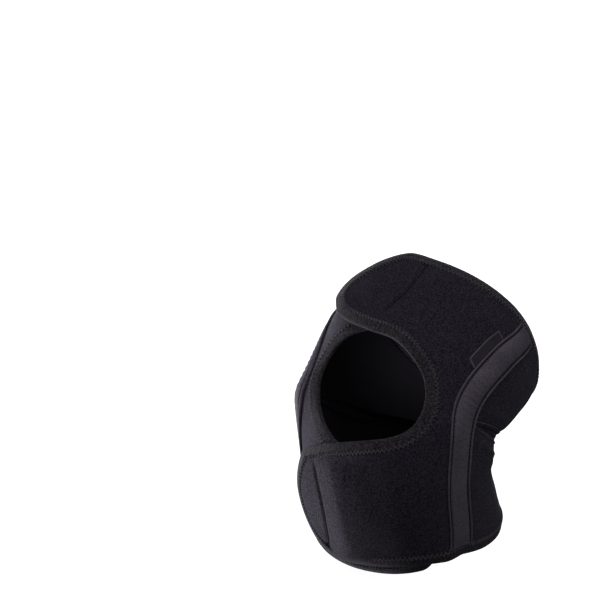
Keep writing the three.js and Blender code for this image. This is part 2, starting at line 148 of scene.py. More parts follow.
# Unevenness of the straps on top: height, length of its waves and seed
UNEVEN = {"height": 0.25, "slow": 34, "seed": 3}
# Its waves: number, spread of their lengths, millimetres per degree, and the sum that counts as 1
DRIFT = {"waves": 5, "lengths": (0.6, 1.6), "mm_per_degree": 1.15, "level": 3}

# Knee-pit cut-out and the insert that laps behind its edge
PIT = {"middle": 180, "reach": 106, "station": -4, "half_height": 6, "fullness": 2, "corner": 22, "blunt": 0.98}
PIT_LAP = {"reach": 4, "half_height": 7}
# Cross-section of the insert: flat where it laps, bulging out through the cut-out
PIT_PROFILE = (
    (-1, 0), (-0.42, 0), (-0.33, 0.5), (-0.22, 0.9), (0, 1), (0.22, 0.9), (0.33, 0.5), (0.42, 0), (1, 0),
)
# The insert's depth behind the cloth, and its folds: number, slant, level, and where they fade both ways
INSERT = {
    "behind": 0.4, "folds": 11, "slant": 1.5, "level": 0.5, "fade_along": (0.47, 0.3), "fade_across": (0.42, 0.3),
}
# Distance of the seam from the cut-out's edge
PIT_SEAM = 2.2
# Folds that fan out over the back from the pit: angle and station at both ends, width, height.
# They fade over these shares of their length, and begin at this distance past the binding's lap.
PIT_FADE = {"grows": (-0.05, 0.2), "fades": (1.05, 0.5), "past_lap": 4}
PIT_FOLDS = (
    (78, 3, 150, 9, 4.5, 1.6),
    (78, -9, 150, -16, 4.5, 1.5),
    (84, -15, 150, -30, 4, 1.2),
    (88, -23, 150, -44, 5, 0.9),
    (282, 3, 210, 9, 4.5, 1.6),
    (282, -9, 210, -16, 4.5, 1.5),
    (276, -15, 210, -30, 4, 1.2),
)

# Stay band cross-section from one edge to the middle: hem ridge, stitch groove, puffed middle
HALF_BAND = (
    (-1, 0.3), (-0.98, 1.1), (-0.93, 1.35), (-0.88, 1.1), (-0.84, 0.35), (-0.79, 0.05), (-0.74, 0.25),
    (-0.66, 1.05), (-0.5, 1.7), (-0.25, 2.1),
)
BAND_PROFILE = HALF_BAND + ((0, 2.2),) + tuple((-across, height) for across, height in HALF_BAND[::-1])
# Gathers of a band where the leg bends; they fade towards its edges
GATHERS = {"height": 0.22, "spacing": 3.1, "slant": 2, "station": 8, "reach": 17, "fade": (0.8, 0.3)}
BAND_GAP = 0.9  # height of a band over the cloth
BAND_MARGIN = 1.5  # gap between a band's end and the binding
BAND_GROOVE = 0.79  # place of the stitch groove, as a share of the half width
GROOVE_STATION = 60.0  # clear of the gathers, for the depth of the groove
# How far from its ends a band is pressed flat by the binding's seam, and to what share of its height
BAND_PRESS = {"reach": 13, "least": 0.3}

# Tag beside the near band; its ends are cut square to the band, so they slant against the stations
TAG = {"station": 33, "slant": 0.45, "gap": 0.4, "rise": 0.75, "curl": 0.5, "droop": 0.25}

# Folded tape of the binding: how far in from the cloth's edge, and how far from its nearer face
TAPE_OUTSIDE = (
    (7.0, 0.55), (6.9, 0.8), (6.3, 0.95), (5.2, 1.0), (3.6, 1.1), (1.9, 1.1), (0.5, 0.95), (-0.5, 0.5),
    (-1.1, -0.3),
)
TAPE_INSIDE = ((-0.4, 0.35), (3.0, 0.5), (7.0, 0.45))
TAPE_UNDER = 0.85  # the tape's height under the cloth, as a share of that over it
# Zigzag of the binding: reach short of and past the tape's lap, and heights over the tape and the cloth
ZIGZAG = {"short": 1.9, "past": 0.9, "on_tape": 1.1, "on_cloth": 0.5, "drop": (0.55, 0.9)}

# Cloth beside the binding, in distances past the tape's lap: where it is still pinched, where its
# swell rises, where that eases off and by what share, and where the unevenness of the straps begins
BESIDE_TAPE = {"pinched": -0.5, "rises": (-1.5, 3), "eases": (3, 16), "eased": 0.65, "uneven": (-1, 2)}
# How a stitch lies on the cloth: its middle height and swing in threads, how flat it is, and its share on top
STITCH_FORM = {"middle": 0.25, "swing": 0.9, "flatness": 1.6, "on_top": 0.45}

# Grid lines of the finished surfaces
WRAP_COLUMNS = {"upper": 180, "seam": 90, "lower": 200}
WRAP_LINES = 60
BACK_COLUMNS = {"seam": 90, "rim": 110}
BACK_LINES = 56
PIT_COLUMNS = 180
PIT_LINES = 97
BAND_COLUMNS = 240
BAND_LINES = ((-1, -0.6, 21), (-0.55, 0.55, 15), (0.6, 1, 21))
TAG_COLUMNS, TAG_LINES = 48, 16
PAD_POINTS = 80
TAPE_SPACING = 1.6
TAPE_SMOOTHING = 4  # millimetres over which the tape's direction is averaged
ZIGZAG_STEPS = 4
THREAD_SIDES = 6
THREAD_CAP = ((0, 1, 2, 3), (0, 3, 4, 5))
STITCH_STEPS = 6


def linear(colour):
    """The linear red, green, blue and alpha of an sRGB hex colour."""
    parts = np.array([int(colour[i : i + 2], 16) for i in (1, 3, 5)]) / 255
    light = np.where(parts <= 0.04045, parts / 12.92, ((parts + 0.055) / 1.055) ** 2.4)
    return (*light.tolist(), 1.0)


# ---------------------------------------------------------------- sizes and colours


def length(name, description, default):
    """A size in metres that a user may change."""
    return FloatProperty(name=name, description=description, default=default, min=0, unit="LENGTH", precision=5)


def colour(name, description, default):
    """A colour that a user may change; its default is an sRGB hex value."""
    return FloatVectorProperty(
        name=name, description=description, default=linear(default), size=4, min=0, max=1, subtype="COLOR"
    )


class KneeSupportSizes(bpy.types.PropertyGroup):
    """Sizes of the cloth, the tapes and the sewing"""

    wall: length("Laminate", "Thickness of the looped foam laminate", 0.0028)
    crown: length("Crown", "How far the laminate swells beside a sewn tape", 0.0006)
    pinch: length("Pinch", "How far the binding presses the laminate's edge together", 0.0015)
    insert_wall: length("Insert", "Thickness of the knee-pit insert", 0.0012)
    insert_bulge: length("Insert bulge", "How far the insert stands out of its cut-out", 0.0026)
    insert_fold: length("Insert folds", "Half height of the insert's bunched folds", 0.0034)
    band_width: length("Band width", "Width of a stay band", 0.02)
    binding_lap: length("Binding lap", "How far the binding laps over the cloth", 0.007)
    tag_length: length("Tag length", "Length of the tag along the band", 0.0265)
    tag_width: length("Tag width", "Width of the tag beside the band", 0.0062)
    tag_wall: length("Tag thickness", "Thickness of the folded tag", 0.0009)
    stitch: length("Stitch", "Length of one stitch", 0.0026)
    thread: length("Thread", "Thickness of the sewing thread", 0.0006)
    loop: length("Pile loop", "Width of one loop of the pile, drawn coarse enough to show", 0.0009)


class KneeSupportColours(bpy.types.PropertyGroup):
    """Colours of the cloth, the tapes and the sewing"""

    pile: colour("Pile", "Shade of the pile between its loops", "#09070c")
    pile_tips: colour("Pile tips", "Shade of the pile's loops", "#2a2731")
    # Lining: a real smooth layer inside, but its dark shade is partly painted shade for the hollow inside the
    # support
    lining: colour("Lining", "Shade of the smooth lining inside", "#1b191e")
    insert: colour("Insert", "Shade of the smooth insert", "#252129")
    band: colour("Band", "Shade of the stay bands", "#45404a")
    binding: colour("Binding", "Shade of the binding tape", "#2e2b30")
    tag: colour("Tag", "Shade of the blank tag", "#211e25")
    # Band and pad thread: partly the thread's own black, partly painted shade, dark enough that the stitch
    # grooves read as dark lines
    thread: colour("Thread", "Shade of the thread in the bands and pads", "#121013")
    binding_thread: colour("Binding thread", "Shade of the thread in the binding", "#47434b")
    floor: colour("Floor", "Shade of the floor", "#8c8c8c")


def sizes():
    """The sizes in millimetres."""
    group = bpy.context.scene.knee_support_sizes
    return {name: getattr(group, name) / MM for name in KneeSupportSizes.__annotations__}


def colours():
    """The colours as linear red, green, blue and alpha."""
    group = bpy.context.scene.knee_support_colours
    return {name: tuple(getattr(group, name)) for name in KneeSupportColours.__annotations__}


# ---------------------------------------------------------------- the form of the leg


def mix(a, b, t):
    """The value a share t of the way from a to b."""
    return a + (b - a) * t


def soft_step(a, b, x):
    """0 at a and 1 at b, with level ends: 3 t squared less 2 t cubed."""
    t = np.clip((x - a) / (b - a), 0, 1)
    return t * t * (3 - 2 * t)


def through(rows, column, key=None):
    """Smooth curve through one column of a table, as a function of another column or of the row's
    number: cubic pieces whose slopes come from the neighbouring rows, straight beyond both ends."""
    table = np.asarray(rows, float)
    count = len(table)
    x = np.arange(count, dtype=float) if key is None else table[:, key]
    y = table[:, column]
    before = np.maximum(np.arange(count) - 1, 0)
    after = np.minimum(np.arange(count) + 1, count - 1)
    slope = (y[after] - y[before]) / (x[after] - x[before])

    def curve(at):
        at = np.asarray(at, float)
        held = np.clip(at, x[0], x[-1])
        i = np.clip(np.searchsorted(x, held, side="right") - 1, 0, count - 2)
        h = x[i + 1] - x[i]
        t = (held - x[i]) / h
        rise = (y[i + 1] - y[i]) * t * t * (3 - 2 * t)
        bend = h * t * (1 - t) * (slope[i] * (1 - t) - slope[i + 1] * t)
        return y[i] + rise + bend + (at - held) * np.where(at < x[0], slope[0], slope[-1])

    return curve


section = {
    name: through(SECTIONS, i + 1, key=0)
    for i, name in enumerate(("y", "z", "lean", "near", "far", "front", "back"))
}
band_angle = through(BAND_LINE, ANGLE, key=STATION)
near_rim = through(OVER_UPPER_RIM[3:] + BACK_UPPER_RIM[1:5], STATION, key=ANGLE)


def core(angle, station):
    """Inner face of the support in millimetres: at each station a rounded section of four half
    sizes, leaning with the leg, with the far corner pushed out by a bell across and a tent along."""
    turn = np.radians(angle)
    c, s = np.cos(turn), np.sin(turn)
    rounding = (np.abs(c) ** ROUNDNESS + np.abs(s) ** ROUNDNESS) ** (-1 / ROUNDNESS)
    depth = np.where(c > 0, section["front"](station), section["back"](station)) * c * rounding
    side = np.where(s > 0, section["near"](station), section["far"](station)) * s * rounding
    lean = np.radians(section["lean"](station))
    off = (angle - FAR_CORNER["angle"] + 180) % 360 - 180
    beside = np.exp(-((off / np.where(off > 0, FAR_CORNER["ahead"], FAR_CORNER["behind"])) ** 2))
    away = np.hypot((station - FAR_CORNER["station"]) / FAR_CORNER["reach"], FAR_CORNER["softness"])
    corner = FAR_CORNER["out"] * beside * np.maximum(0, 1 - away) ** FAR_CORNER["ease"]
    heading = math.radians(FAR_CORNER["heading"])
    return np.stack(
        np.broadcast_arrays(
            side + corner * math.sin(heading),
            section["y"](station) - depth * np.cos(lean) - corner * math.cos(heading),
            section["z"](station) + depth * np.sin(lean),
        ),
        axis=-1,
    )


def unit(vectors):
    """The vectors, each divided by its length."""
    return vectors / np.maximum(np.linalg.norm(vectors, axis=-1, keepdims=True), 1e-12)


def axes_at(angle, station):
    """Steps per degree and per millimetre on the inner face, and the outward normal, their cross product."""
    across = core(angle + 0.5, station) - core(angle - 0.5, station)
    along = core(angle, station + 0.5) - core(angle, station - 0.5)
    return across, along, unit(np.cross(across, along))


def rim_turn(angle, station):
    """How far the cloth by the near upper rim turns outwards: the square of the way to the rim."""
    way = np.clip(1 + (station - near_rim(angle)) / RIM_TURN["reach"], 0, RIM_TURN["most"])
    turned = RIM_TURN["out"] * way**2
    return turned * soft_step(*RIM_TURN["grows"], angle) * (1 - soft_step(*RIM_TURN["fades"], angle))


def back_fullness(angle, station):
    """How far the near side of the back panel swells: a bell round the leg and along it."""
    round_leg = (angle - BACK_FULLNESS["angle"]) / BACK_FULLNESS["width"]
    along_leg = (station - BACK_FULLNESS["station"]) / BACK_FULLNESS["height"]
    return BACK_FULLNESS["out"] * np.exp(-(round_leg**2) - along_leg**2)


def place(angle, station, lift):
    """The point at a lift over the inner face, in metres: the inner face plus the lift along its normal."""
    lift = lift + rim_turn(angle, station) + back_fullness(angle, station)
    angle, station, lift = np.broadcast_arrays(angle, station, lift)
    return (core(angle, station) + axes_at(angle, station)[2] * lift[..., None]) * MM


def degree_at(angle, station):
    """Millimetres per degree round the leg."""
    return np.linalg.norm(axes_at(angle, station)[0], axis=-1)


def moved(angle, station, direction, distance):
    """The place reached by going a distance along a direction in space: the direction's two parts
    on the face, solved from its step lengths and the angle between the steps."""
    across, along, _ = axes_at(angle, station)
    aa, ab, bb = ((p * q).sum(-1) for p, q in ((across, across), (across, along), (along, along)))
    a, b = (direction * across).sum(-1) * distance, (direction * along).sum(-1) * distance
    scale = 1 / (aa * bb - ab * ab)
    return angle + (a * bb - b * ab) * scale, station + (b * aa - a * ab) * scale


def on_leg(angle, station):
    """Height of the layer that lies on the leg: nothing."""
    return np.zeros(np.broadcast(angle, station).shape)


def flare(end, angle):
    """How far a strap's stiff end stands off: the square of the way from the flare's start to the tip."""
    return end["lift"] * np.minimum(0, (angle - end["start"]) / (end["start"] - end["tip"])) ** 2


def on_top(angle, station):
    """Height of the straps that close on top: full over the straps beneath, and stepping down softly
    towards the near side, along a ramp that differs above and below the knee."""
    upper = soft_step(-RAMP_BLEND, RAMP_BLEND, station)
    raised = mix(LOWER_RAMP["raised"], UPPER_RAMP["raised"], upper)
    down = mix(LOWER_RAMP["down"], UPPER_RAMP["down"], upper)
    stiff = mix(flare(LOWER_FLARE, angle), flare(UPPER_FLARE, angle), upper)
    return STRAP_LIFT * soft_step(down, raised, angle) + stiff


# ---------------------------------------------------------------- grids of the panels


def notch_edge(rows):
    """Edge through the rows of a table; t runs from 0 at the first row to 1 at the last."""
    angle, station = through(rows, ANGLE), through(rows, STATION)
    return lambda t: (angle(t * (len(rows) - 1)), station(t * (len(rows) - 1)))


def rim(rows, backwards=False):
    """Rim through the rows of a table; t runs evenly in angle from the first row to the last, or back."""
    station = through(rows, STATION, key=ANGLE)
    start, end = (rows[row][ANGLE] for row in ((-1, 0) if backwards else (0, -1)))
    return lambda t: (mix(start, end, t), station(mix(start, end, t)))


def seam_line(side, start, end, shift):
    """Seam under a stay band between two stations, set off the band's middle line by a small shift."""

    def line(t):
        station = mix(start, end, t)
        angle = side * band_angle(station)
        return angle + shift / degree_at(angle, station), station

    return line


def rounded(end, t):
    """Share of a strap's edge that its rounded end takes away: a rounded corner that is square to the
    strap at its tip and runs into the edge, with the power between a slope's 1 and a circle's 2."""
    inner = t < end["tip"]
    x = np.where(inner, (end["tip"] - t) / end["tip"], (t - end["tip"]) / (1 - end["tip"]))
    return np.where(inner, end["notch_round"], end["rim_round"]) * (1 - (1 - x**END_POWER) ** (1 / END_POWER))


def crowded(lines):
    """Fractions from 0 to 1 that crowd towards both ends: half of one less a cosine."""
    return (1 - np.cos(np.pi * np.linspace(0, 1, lines))) / 2


def wrap_grid(notch, upper_rim, seam, lower_rim, upper_end, lower_end):
    """Places of a C-shaped wrap. Columns run down the C from the upper strap's end to the lower
    strap's end, lines from the kneecap edge to the rims and the seam; each place is a mix of the
    place on the kneecap edge and the place outside, at the same share of its third of the C."""
    inner = notch_edge(notch)
    line = crowded(WRAP_LINES)[None, :]
    upper = np.linspace(0, 1, WRAP_COLUMNS["upper"] + 1)[:-1, None]
    side = np.linspace(0, 1, WRAP_COLUMNS["seam"] + 1)[:-1, None]
    lower = np.linspace(0, 1, WRAP_COLUMNS["lower"] + 1)[:, None] ** STRAP_CROWDING
    thirds = (
        (0, upper_rim, mix(rounded(upper_end, line), 1, upper)),
        (1, seam, side + 0 * line),
        (2, lower_rim, lower * (1 - rounded(lower_end, line))),
    )
    grids = [
        [mix(a, b, line) for a, b in zip(inner((third + t) / 3), outer(t))] for third, outer, t in thirds
    ]
    return np.concatenate([g[0] for g in grids]), np.concatenate([g[1] for g in grids])


def over_grid():
    """Places of the near wrap, from its upper strap round the near seam to its lower strap."""
    upper, lower = OVER_UPPER_RIM, OVER_LOWER_RIM
    seam = seam_line(1, upper[-1][STATION], lower[-1][STATION], -SEAM_GAP / 2)
    return wrap_grid(OVER_NOTCH, rim(upper), seam, rim(lower, backwards=True), OVER_UPPER_END, OVER_LOWER_END)


def under_grid():
    """Places of the far wrap, from its upper strap round the far seam to its lower strap."""
    upper, lower = UNDER_UPPER_RIM, UNDER_LOWER_RIM
    seam = seam_line(-1, upper[0][STATION], lower[0][STATION], SEAM_GAP / 2)
    return wrap_grid(UNDER_NOTCH, rim(upper, backwards=True), seam, rim(lower), UNDER_UPPER_END, UNDER_LOWER_END)


def pit_height(share, half_height):
    """Half height of the knee-pit cut-out at a share of its reach: one less a power, so that the bent
    knee pinches its ends."""
    return half_height * np.maximum(0, 1 - np.abs(share) ** PIT["fullness"])


def back_grid():
    """Places of the back panel, a ring of columns. Each column is a mix of a place on the cut-out's
    edge, given by its turn round the cut-out, and a place on a seam or a rim."""
    upper, lower = BACK_UPPER_RIM, BACK_LOWER_RIM
    corner = PIT["corner"]
    turns = (-corner, corner, 180 - corner, 180 + corner, 360 - corner)
    sides = (
        (seam_line(1, lower[0][STATION], upper[0][STATION], SEAM_GAP / 2), BACK_COLUMNS["seam"]),
        (rim(upper), BACK_COLUMNS["rim"]),
        (seam_line(-1, upper[-1][STATION], lower[-1][STATION], -SEAM_GAP / 2), BACK_COLUMNS["seam"]),
        (rim(lower, backwards=True), BACK_COLUMNS["rim"]),
    )
    line = crowded(BACK_LINES)[None, :]
    angles, stations = [], []
    for (outer, steps), start, end in zip(sides, turns, turns[1:]):
        t = np.linspace(0, 1, steps + 1)[:-1, None]
        turn = np.radians(mix(start, end, t))
        share = -np.cos(turn)
        height = pit_height(share, PIT["half_height"]) * np.sign(np.sin(turn))
        goal, station = outer(t)
        angles.append(mix(PIT["middle"] + PIT["reach"] * share, np.where(goal < 0, goal + 360, goal), line))
        stations.append(mix(PIT["station"] + height, station, line))
    return np.concatenate(angles), np.concatenate(stations)


def lens_grid():
    """Places of the insert: a lens a little larger than the cut-out; columns run round the leg."""
    share = np.linspace(-1, 1, PIT_COLUMNS)[:, None]
    across = np.linspace(-1, 1, PIT_LINES)[None, :]
    height = pit_height(share * PIT["blunt"], PIT["half_height"] + PIT_LAP["half_height"])
    angle = PIT["middle"] + (PIT["reach"] + PIT_LAP["reach"]) * share
    return angle + 0 * across, PIT["station"] + height * across


def run_along(points):
    """Distance of each grid point from the first point of its column, along the column."""
    return np.pad(np.cumsum(np.linalg.norm(np.diff(points, axis=1), axis=-1), axis=1), ((0, 0), (1, 0)))


def set_in(angle, station, distance):
    """The line of places that lies a distance in millimetres along each column from its first place:
    the two grid places on either side of it, mixed by the share of the way between them."""
    down = run_along(core(angle, station))
    past = (down < distance).sum(axis=1)[:, None]
    before, after = (np.take_along_axis(down, at, axis=1) for at in (past - 1, past))
    share = (distance - before) / (after - before)
    return tuple(
        mix(*(np.take_along_axis(places, at, axis=1) for at in (past - 1, past)), share)[:, 0]
        for places in (angle, station)
    )


def edge_distance(points, ends=True):
    """Distance of each grid point from the nearest edge of its panel in millimetres, measured along
    its column and, where the panel has ends, along its line."""
    down = run_along(points / MM)
    near = np.minimum(down, down[:, -1:] - down)
    if ends:
        over = run_along(points.swapaxes(0, 1) / MM).T
        near = np.minimum(near, np.minimum(over, over[-1:] - over))
    return near


def pinch(distance, size):
    """How far the cloth is pressed down near its edge, fading out where the tape ends."""
    return size["pinch"] * soft_step(size["binding_lap"] + BESIDE_TAPE["pinched"], 0, distance)


def crown(distance, size):
    """Swelling of the foam beside a sewn tape: pressed down under the tape, risen beyond it, then
    eased off inwards."""
    past = distance - size["binding_lap"]
    eased = 1 - BESIDE_TAPE["eased"] * soft_step(*BESIDE_TAPE["eases"], past)
    return size["crown"] * soft_step(*BESIDE_TAPE["rises"], past) * eased - pinch(distance, size)


def drift(angle, station, slow, seed):
    """Slow unevenness of soft foam: a sum of a few sine waves in seeded directions, about 1 high."""
    chance = np.random.default_rng(seed)
    bearing = chance.uniform(0, 2 * np.pi, DRIFT["waves"])
    wave = 2 * np.pi / (slow * chance.uniform(*DRIFT["lengths"], DRIFT["waves"]))
    start = chance.uniform(0, 2 * np.pi, DRIFT["waves"])
    x, y = (angle * DRIFT["mm_per_degree"])[..., None], station[..., None]
    return np.sin(wave * (x * np.cos(bearing) + y * np.sin(bearing)) + start).sum(-1) / DRIFT["level"]


# ---------------------------------------------------------------- meshes


def piece(name, points, quads, material, slot, uv=None, lining=None):
    """Mesh object from points and four-cornered faces, turned outward by its signed volume. A lining
    takes the faces of the slab's inner side, which are the second of its two grids."""
    points = points.reshape(-1, 3)
    a, b, c, d = (points[quads[:, i]] for i in range(4))
    if ((a * np.cross(b, c)).sum() + (a * np.cross(c, d)).sum()) < 0:
        quads = quads[:, ::-1]
    mesh = bpy.data.meshes.new(name)
    mesh.from_pydata(points.tolist(), [], quads.tolist())
    if uv is not None:
        layer = mesh.uv_layers.new(name="cut")
        layer.uv.foreach_set("vector", uv.reshape(-1, 2)[quads.reshape(-1)].astype(np.float32).ravel())
    mesh.shade_smooth()
    mesh.set_sharp_from_angle(angle=math.radians(60))
    mesh.materials.append(material)
    # The inner faces take the lining, whose darker shade is painted shade for the hollow
    if lining:
        mesh.materials.append(lining)
        inside = (quads >= len(points) // 2).all(axis=1)
        mesh.polygons.foreach_set("material_index", inside.astype(np.int32))
    made = bpy.data.objects.new(name, mesh)
    bpy.context.scene.collection.objects.link(made)
    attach(made, "root")
    return made


def grid_quads(ids):
    """The faces of a grid of point numbers: each takes four neighbouring points in turn."""
    return np.stack([ids[:-1, :-1], ids[1:, :-1], ids[1:, 1:], ids[:-1, 1:]], axis=-1).reshape(-1, 4)


def slab(outer, inner, ring=False):
    """Points and faces of cloth between two grids of points, closed all round; a ring joins its last
    column to its first."""
    columns, lines = outer.shape[:2]
    ids = np.arange(columns * lines).reshape(columns, lines)
    below = columns * lines
    wrapped = np.concatenate([ids, ids[:1]]) if ring else ids
    top = grid_quads(wrapped)
    edges = [(wrapped[1:, 0], wrapped[:-1, 0]), (wrapped[:-1, -1], wrapped[1:, -1])]
    if not ring:
        edges += [(ids[0, :-1], ids[0, 1:]), (ids[-1, 1:], ids[-1, :-1])]
    walls = [np.stack([a, b, b + below, a + below], axis=-1) for a, b in edges]
    return np.stack([outer, inner]), np.concatenate([top, top[:, ::-1] + below, *walls])


def hoop_quads(count, sides, closed):
    """Faces of a profile carried along a path: each hoop of points is joined to the next."""
    ids = np.arange(count * sides).reshape(count, sides)
    ids = np.concatenate([ids, ids[:, :1]], axis=1)
    return grid_quads(np.concatenate([ids, ids[:1]]) if closed else ids)


def thread_tube(path, normal, thickness, closed=False):
    """Points and faces of a thread: a circle carried along a path, set square to it by the normal."""
    ahead, behind = (np.roll(path, s, axis=0) for s in (-1, 1))
    if not closed:
        ahead[-1], behind[0] = path[-1], path[0]
    tangent = unit(ahead - behind)
    beside = unit(np.cross(tangent, normal))
    above = np.cross(beside, tangent)
    turn = np.linspace(0, 2 * np.pi, THREAD_SIDES, endpoint=False)
    hoop = np.cos(turn)[None, :, None] * above[:, None] + np.sin(turn)[None, :, None] * beside[:, None]
    points = path[:, None] + hoop * thickness * MM / 2
    quads = hoop_quads(len(path), THREAD_SIDES, closed)
    if not closed:
        caps = np.array(THREAD_CAP)
        quads = np.concatenate([quads, caps, caps[:, ::-1] + (len(path) - 1) * THREAD_SIDES])
    return points.reshape(-1, 3), quads


def joined(parts):
    """Several sets of points and faces as one."""
    starts = np.cumsum([0] + [len(points) for points, _ in parts[:-1]])
    return np.concatenate([p for p, _ in parts]), np.concatenate([q + s for (_, q), s in zip(parts, starts)])


def respaced(angle, station, spacing):
    """The same line of places, spaced evenly along the inner face."""
    points = core(angle, station)
    along = np.concatenate([[0], np.cumsum(np.linalg.norm(np.diff(points, axis=0), axis=1))])
    at = np.linspace(0, along[-1], int(round(along[-1] / spacing)) + 1)
    return np.interp(at, along, angle), np.interp(at, along, station)


def running_stitch(angle, station, lift, size):
    """Thread of a sewn line of stitches: it lies on the cloth for most of each stitch and dips
    through it between two, as a flattened cosine of the way along."""
    angle, station = respaced(angle, station, size["stitch"] / STITCH_STEPS)
    wave = np.cos(np.arange(len(angle)) * 2 * np.pi / STITCH_STEPS)
    flat = np.tanh(STITCH_FORM["flatness"] * (wave + STITCH_FORM["on_top"]))
    rise = size["thread"] * (STITCH_FORM["middle"] + STITCH_FORM["swing"] * flat)
    height = lift(angle, station) + rise
    return thread_tube(place(angle, station, height), axes_at(angle, station)[2], size["thread"])


# ---------------------------------------------------------------- materials

# Tint of the light that brushed nylon throws back along its nap
SHEEN = linear("#c9c6d4")


def add(tree, kind, inputs=None, **settings):
    """Adds a node with its settings; an input is a value, or a socket to link from."""
    node = tree.nodes.new(kind)
    for name, value in settings.items():
        setattr(node, name, value)
    for name, value in (inputs or {}).items():
        if isinstance(value, bpy.types.NodeSocket):
            tree.links.new(value, node.inputs[name])
        else:
            node.inputs[name].default_value = value
    return node


def started(name):
    """A new material with an empty node tree, or the one already made."""
    made = bpy.data.materials.get(name)
    if made:
        return made, None
    made = bpy.data.materials.new(name)
    made.use_nodes = True
    made.node_tree.nodes.clear()
    return made, made.node_tree


def finished(tree, colour_socket, height_socket, depth, surface):
    """Closes a cloth's tree: colour and bump into one Principled surface, whose other values are set on it."""
    bump = add(tree, "ShaderNodeBump", {"Height": height_socket, "Strength": 1.0, "Distance": depth * MM})
    inputs = {"Base Color": colour_socket, "Normal": bump.outputs[0], **surface}
    shader = add(tree, "ShaderNodeBsdfPrincipled", inputs)
    add(tree, "ShaderNodeOutputMaterial", {"Surface": shader.outputs[0]})


def shaded(tone, share):
    """A colour at a share of its brightness."""
    return tuple(share * part for part in tone[:3]) + (1.0,)


def speckled(name, low, high, surface, grain, spread, depth):
    """Cloth whose loops or stitches catch the light as a speckle: two shades mixed by a fine noise.
    Grain is the size of a speck and depth that of the bump, in millimetres; spread is the width of
    the change from low to high."""
    made, tree = started(name)
    if tree:
        at = add(tree, "ShaderNodeTexCoord").outputs["Object"]
        specks = add(
            tree, "ShaderNodeTexNoise",
            {"Vector": at, "Scale": 1 / (grain * MM), "Detail": 2.0, "Roughness": 0.7},
        )
        share = add(
            tree, "ShaderNodeMapRange",
            {"Value": specks.outputs[0], "From Min": 0.5 - spread, "From Max": 0.5 + spread},
        )
        tone = add(tree, "ShaderNodeMix", {0: share.outputs[0], 6: low, 7: high}, data_type="RGBA")
        finished(tree, tone.outputs[2], specks.outputs[0], depth, surface)
    return made


def looped_pile():
    """Brushed nylon loop cloth laminated to foam: matt, with crowded tiny loops and a trace of sheen."""
    shade = colours()
    surface = {"Roughness": 0.95, "Specular IOR Level": 0.04, "Sheen Weight": 0.05, "Sheen Tint": SHEEN}
    return speckled(
        "brushed_nylon_loop_laminate", shade["pile"], shade["pile_tips"], surface,
        grain=sizes()["loop"], spread=0.1, depth=1.1,
    )


def smooth_knit():
    """Fine stretch knit: matt and even."""
    shade = colours()["insert"]
    surface = {"Roughness": 0.9, "Specular IOR Level": 0.04}
    return speckled(
        "fine_polyamide_stretch_knit", shaded(shade, 0.7), shade, surface, grain=0.9, spread=0.2, depth=0.25
    )


def lining_in_painted_shade():
    """Smooth jersey inside the laminate: dull black, with only the faint grain of its knit. It is kept darker
    than the pile outside as painted shade for the hollow inside.
    """
    shade = colours()["lining"]
    surface = {"Roughness": 0.9, "Specular IOR Level": 0.04}
    return speckled(
        "smooth_jersey_lining", shaded(shade, 0.6), shade, surface, grain=1.0, spread=0.3, depth=0.15
    )


def binding_tape():
    """Folded nylon knit: matt and a little fuzzy, with an uneven grain."""
    shade = colours()["binding"]
    surface = {"Roughness": 0.9, "Specular IOR Level": 0.05, "Sheen Weight": 0.03, "Sheen Tint": SHEEN}
    return speckled(
        "folded_nylon_knit_binding", shaded(shade, 0.1), shade, surface, grain=1.0, spread=0.1, depth=0.8
    )


def sewing_thread(name, shade):
    """Twisted polyester or nylon thread: dull, with the uneven shade of its twist."""
    surface = {"Roughness": 0.8, "Specular IOR Level": 0.06}
    return speckled(name, shaded(shade, 0.7), shade, surface, grain=0.5, spread=0.2, depth=0.1)


